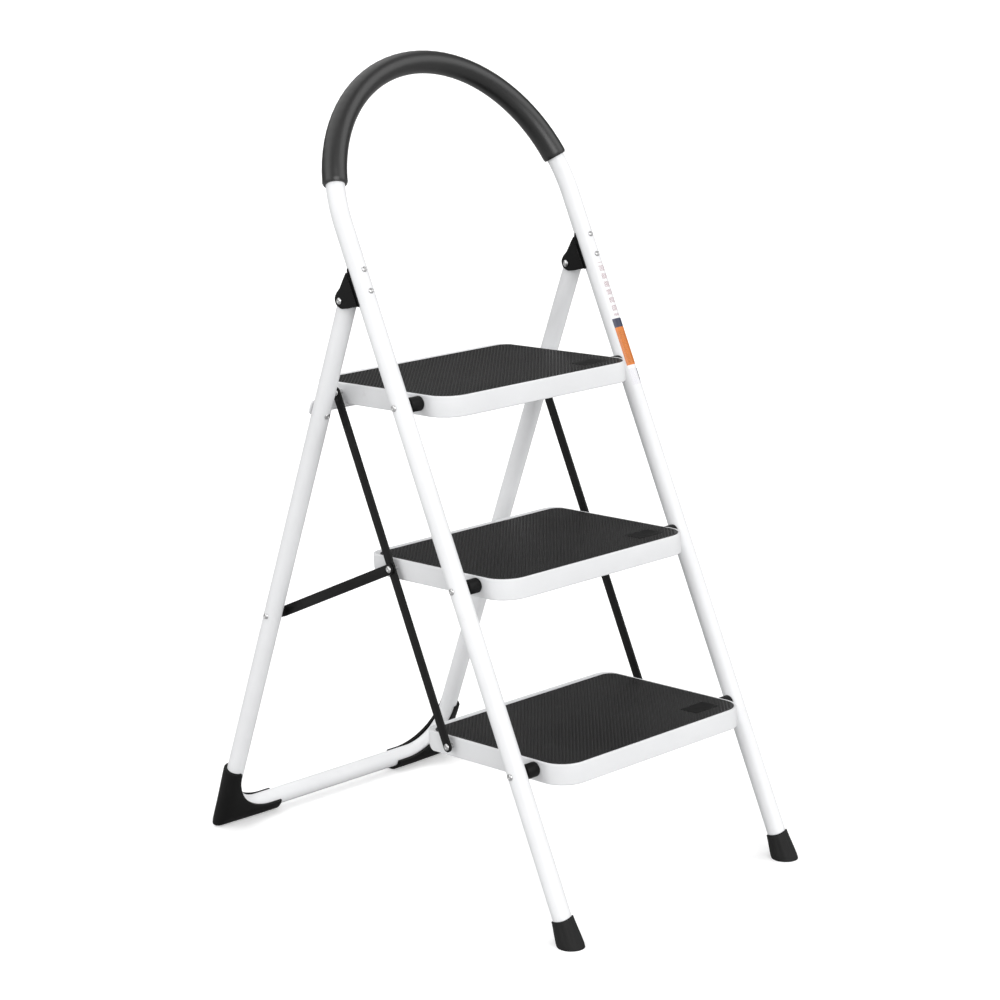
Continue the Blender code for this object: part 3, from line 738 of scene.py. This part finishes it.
def add_studs(pad, corners):
    """Adds each lozenge's four sides and top to the pad's mesh."""
    count = len(corners)
    index = np.arange(4)
    following = (index + 1) % 4
    sides = np.stack([index, following, following + 4, index + 4], -1)
    each = np.concatenate([sides, [[4, 5, 6, 7]]])
    faces = (each + 8 * np.arange(count)[:, None, None]).reshape(-1, 4)
    mesh = bpy.data.meshes.new("studs")
    mesh.from_pydata(corners.reshape(-1, 3).tolist(), [], faces.tolist())
    bm = bmesh.new()
    bm.from_mesh(pad.data)
    bm.from_mesh(mesh)
    bm.to_mesh(pad.data)
    bm.free()
    bpy.data.meshes.remove(mesh)


# Links


def flat_link(name, start, end, x_range, side, body, node):
    outline = bar_outline(at_x(start, side * x_range[0]), at_x(end, side * x_range[0]), LINK_HALF)
    lift = side * (x_range[1] - x_range[0]) * ALONG_X
    make(name, [(slab(outline, lift, 0.7 * MM), "flat")], body, [node],
         BLACK_COAT)


def links(label, side):
    """Both kinds of link, and the rivets and nut that hold them."""
    flat_link(f"link_bar_{label}_strip", link_point(1), link_point(3), BAR_X, side,
              f"link_bar_{label}", f"link_bar_{label}")
    brace_end = rear(0, BRACE_S)
    flat_link(f"brace_link_{label}_strip", link_point(2), brace_end, BRACE_X, side,
              f"brace_link_{label}", f"brace_link_{label}")
    for tread in TREADS:
        node = f"link_rivet_{tread}_{label}"
        outer = (BRACE_X if tread == 2 else BAR_X)[1] + 2.0 * MM
        start = at_x(link_point(tread), side * outer)
        length = outer - 0.1725
        rivet(f"{node}_head", start, -side * ALONG_X, 4.6 * MM, 1.9 * MM, 2.9 * MM, length,
              f"step_{tread}", node, 4.3 * MM)
    node = f"brace_nut_{label}"
    start = at_x(brace_end, side * (BRACE_X[0] - 0.1 * MM))
    make(f"{node}_hex", [(hexagon(start, -side * ALONG_X, 5.3 * MM, 4.0 * MM), "loop")],
         f"brace_link_{label}", [node], ZINC)


# Rear frame


def bend_path(side):
    """Half of the rear frame's centreline, from the crossbar's middle to a leg's top."""
    t = np.linspace(math.pi / 2, 0, 49)
    x = LEG_X - BEND_R + BEND_R * np.cos(t)
    s = CROSSBAR_S + BEND_R * (1 - np.sin(t))
    return rear(side * np.append(x, LEG_X), np.append(s, REAR_END))


def rear_tube():
    """Ring carried down one leg, round two bends and the crossbar, and up the other leg."""
    path = np.concatenate([bend_path(-1)[::-1], bend_path(1)])
    turns = circle_angles(48)
    outer = swept(path, REAR_BACK, TUBE_R, turns)
    inner = swept(path, REAR_BACK, TUBE_BORE, turns)
    sheets = [(np.concatenate([outer, inner[::-1]]), "loop")]
    make("rear_tube", sheets, "rear_frame", ["rear_frame_tube"], WHITE)


BOOT_WALL, BOOT_SIDE, BOOT_TOP, BOOT_TOE = 16.3 * MM, 0.2243, 0.100, 0.115
RIM_BEND, RIM_S = 0.075, 0.0250     # the walls' rims: radius of the bend, and height at the toe


def tube_depth(x, s, out_x, out_s):
    """From points on the rim, how far out the tube's centreline is."""
    to_leg = (LEG_X - x) / np.maximum(out_x, 1e-6)
    to_bar = (s - CROSSBAR_S) / np.maximum(-out_s, 1e-6)
    dx, ds = x - LEG_X + BEND_R, s - CROSSBAR_S - BEND_R
    along = dx * out_x + ds * out_s
    to_arc = np.sqrt(np.maximum(along**2 - dx**2 - ds**2 + BEND_R**2, 0)) - along
    in_arc = (dx + to_arc * out_x > 0) & (ds + to_arc * out_s < 0)
    return np.where(in_arc, to_arc, np.minimum(to_leg, to_bar))


def rear_boot(label, side):
    """U-shaped sections along the rim, square to it: inside, straight walls down to the tube's
    half circle; outside, a rounder curve as deep as the boot's side or the floor, whichever is
    nearer. The two ends are cut flat."""
    turn = np.linspace(0, math.pi / 2, 41)
    share = np.linspace(0, 1, 13)[1:]
    edge = 0.8 * MM
    leg = np.array([0, 0.3, 1.0]) * edge
    x = np.concatenate([0 * leg + LEG_X, LEG_X - RIM_BEND * (1 - np.cos(turn)),
                        LEG_X - RIM_BEND - (LEG_X - RIM_BEND - BOOT_TOE) * share])
    s = np.concatenate([BOOT_TOP - leg, RIM_S + RIM_BEND * (1 - np.sin(turn)), 0 * share + RIM_S])
    angle = np.concatenate([0 * leg, turn, 0 * share + math.pi / 2])
    x, s, angle = x[:, None], s[:, None], angle[:, None]
    out_x, out_s = np.cos(angle), -np.sin(angle)
    from_end = np.minimum(BOOT_TOP - s, 1) + 10 * np.maximum(0, LEG_X - 0.02 - x)
    from_end = np.minimum(from_end, x - BOOT_TOE)
    draw_in = edge - np.sqrt(np.maximum(edge**2 - np.maximum(edge - from_end, 0) ** 2, 0))
    phi = np.linspace(0, math.pi, 49)
    power = 2 / (2.15 + 0.5 * smooth(0.2, 1.3, angle))
    n = -(BOOT_WALL - draw_in) * np.sign(np.cos(phi)) * np.abs(np.cos(phi)) ** power
    to_side = (BOOT_SIDE - x) / np.maximum(out_x, 1e-3)
    to_floor = (s + n * math.tan(REAR_LEAN)) / np.maximum(-out_s, 1e-3)
    heel = 13 * MM
    mix = np.clip(0.5 + 0.5 * (to_floor - to_side) / heel, 0, 1)
    reach = to_floor + mix * (to_side - to_floor) - heel * mix * (1 - mix) - draw_in
    depth = np.maximum(reach, 1.5 * MM) * np.abs(np.sin(phi)) ** power
    shell = rear(side * (x + depth * out_x), s + depth * out_s, n)
    psi = np.linspace(0, math.pi, 33)
    wall = np.linspace(0, 1, 5)[:-1]
    centre = tube_depth(x, s, out_x, out_s)
    bore_n = np.concatenate([0 * wall + 1, np.cos(psi), 0 * wall - 1]) * 12.6 * MM + 0 * x
    bore = np.concatenate([wall * centre, centre + 12.6 * MM * np.sin(psi),
                           wall[::-1] * centre], 1)
    bore = np.minimum(bore, np.maximum(reach[:, 24:25] - 0.8 * MM, 0))
    trough = rear(side * (x + bore * out_x), s + bore * out_s, bore_n)
    grid = np.concatenate([shell, trough], 1)
    grid[..., 2] = np.maximum(grid[..., 2], 0)
    node = f"rear_foot_{label}"
    make(f"{node}_boot", [(grid, "flat")], "rear_frame", [node], BLACK_PLASTIC)


def rear_fixings(label, side):
    node = f"plate_rivet_{label}"
    start = rear(side * LEG_X, PLATE_S, -TUBE_R - 1.9 * MM)
    rivet(f"{node}_head", start, REAR_BACK, 4.4 * MM, 2.2 * MM, 2.9 * MM, 29.8 * MM,
          "rear_frame", node, 4.3 * MM)
    at = rear(0, BRACE_S)
    inward = -side * ALONG_X
    node = f"brace_bolt_{label}"
    rivet(f"{node}_head", at_x(at, side * (LEG_X + TUBE_R + 1.9 * MM)), inward, 4.4 * MM,
          2.2 * MM, 2.9 * MM, 31.6 * MM, "rear_frame", node)
    node = f"brace_sleeve_{label}"
    start = at_x(at, side * (LEG_X - TUBE_R + 0.3 * MM))
    line = np.array([(0, 3.1), (0, 6.9), (5.3, 6.9), (5.3, 3.1)]) * MM
    bush = turned(start, inward, line, (0, 0.5 * MM, 0.5 * MM, 0), 40)
    make(f"{node}_bush", [(bush, "loop")], "rear_frame", [node], BLACK_PLASTIC)


def brace_plate():
    end, half = 215.5, PLATE_HALF / MM
    corners = [(-end, -half), (end, -half), (end, half), (-end, half)]
    outline = rounded(corners, 4, 6, closed=True) * MM
    face = rear(outline[:, 0], PLATE_S + outline[:, 1], TUBE_R + 0.3 * MM)
    make("brace_plate_strip", [(slab(face, PLATE_THICK * REAR_BACK, 0.6 * MM), "flat")],
         "rear_frame", ["brace_plate"], WHITE)


# Setting


def floor():
    mesh = bpy.data.meshes.new("floor")
    corners = np.array([(-1, -1, 0), (1, -1, 0), (1, 1, 0), (-1, 1, 0)]) * 120.0
    mesh.from_pydata(corners.tolist(), [], [(0, 1, 2, 3)])
    obj = bpy.data.objects.new("floor", mesh)
    bpy.context.scene.collection.objects.link(obj)
    material = bpy.data.materials.new("pale_floor")
    material.use_nodes = True
    g = Graph(material.node_tree)
    shader = material.node_tree.nodes["Principled BSDF"]
    where = g.node("ShaderNodeTexCoord").outputs["Object"]
    tone = g.span(g.noise(where, 3.0, 4.0), 0.3, 0.7)
    pale = g.blend(tone, (0.84, 0.84, 0.84, 1), (0.86, 0.86, 0.86, 1))
    seen = g.node("ShaderNodeLightPath").outputs["Is Camera Ray"]
    g.set(shader.inputs["Base Color"], g.blend(seen, (0.48, 0.48, 0.48, 1), pale))
    g.set(shader.inputs["Emission Color"], g.blend(seen, (0, 0, 0, 1), (1, 1, 1, 1)))
    shader.inputs["Emission Strength"].default_value = 0.32
    shader.inputs["Roughness"].default_value = 0.85
    shader.inputs["Specular IOR Level"].default_value = 0.1
    mesh.materials.append(material)


def sun(name, toward_light, spread, strength):
    light = bpy.data.lights.new(name, "SUN")
    light.angle = math.radians(spread)
    light.energy = strength
    obj = bpy.data.objects.new(name, light)
    bpy.context.scene.collection.objects.link(obj)
    obj.rotation_euler = Vector(toward_light).to_track_quat("Z", "Y").to_euler()


def light():
    """Broad lights from the front, both sides and above, under a sky dim near the horizon."""
    world = bpy.data.worlds.new("studio")
    bpy.context.scene.world = world
    world.use_nodes = True
    g = Graph(world.node_tree)
    where = g.node("ShaderNodeTexCoord").outputs["Generated"]
    up = g.node("ShaderNodeSeparateXYZ", {0: where}).outputs["Z"]
    sky = g.span(up, 0.0, 1.0, 0.08, 0.45)
    seen = g.node("ShaderNodeLightPath").outputs["Is Camera Ray"]
    strength = g.math("MAXIMUM", sky, seen)
    background = world.node_tree.nodes["Background"]
    background.inputs["Color"].default_value = (1, 1, 1, 1)
    g.set(background.inputs["Strength"], strength)
    sun("front_softbox", (-0.37, -0.87, 0.36), 44, 2.0)
    sun("right_softbox", (0.60, -0.65, 0.42), 50, 1.1)
    sun("top_softbox", (0.0, 0.55, 0.83), 80, 1.3)
    sun("left_softbox", (-0.90, 0.25, 0.30), 60, 1.4)


CAMERA_AT = (-2.3798, -2.5512, 1.2625)
CAMERA_TURN = math.radians(43.421)
CAMERA_TILT = math.radians(12.522)
CAMERA_ROLL = math.radians(-2.247)


def camera():
    data = bpy.data.cameras.new("camera")
    data.lens, data.sensor_width = 94.515, 36
    obj = bpy.data.objects.new("camera", data)
    bpy.context.scene.collection.objects.link(obj)
    flat = math.cos(CAMERA_TILT)
    back = Vector((
        -math.sin(CAMERA_TURN) * flat, -math.cos(CAMERA_TURN) * flat, math.sin(CAMERA_TILT)
    ))
    right = Vector((math.cos(CAMERA_TURN), -math.sin(CAMERA_TURN), 0))
    up = back.cross(right)
    turned_right = math.cos(CAMERA_ROLL) * right + math.sin(CAMERA_ROLL) * up
    turned_up = math.cos(CAMERA_ROLL) * up - math.sin(CAMERA_ROLL) * right
    matrix = Matrix((turned_right, turned_up, back)).transposed().to_4x4()
    matrix.translation = CAMERA_AT
    obj.matrix_world = matrix
    bpy.context.scene.camera = obj


def build():
    front_tube()
    grip()
    sticker()
    rear_tube()
    brace_plate()
    for label, side in SIDES:
        front_foot(label, side)
        bracket(label, side)
        leg_fixings(label, side)
        links(label, side)
        rear_boot(label, side)
        rear_fixings(label, side)
    for tread in TREADS:
        tray(tread)
        mat(tread)
    floor()
    light()
    camera()
    bpy.context.scene.view_settings.view_transform = "Standard"


build()
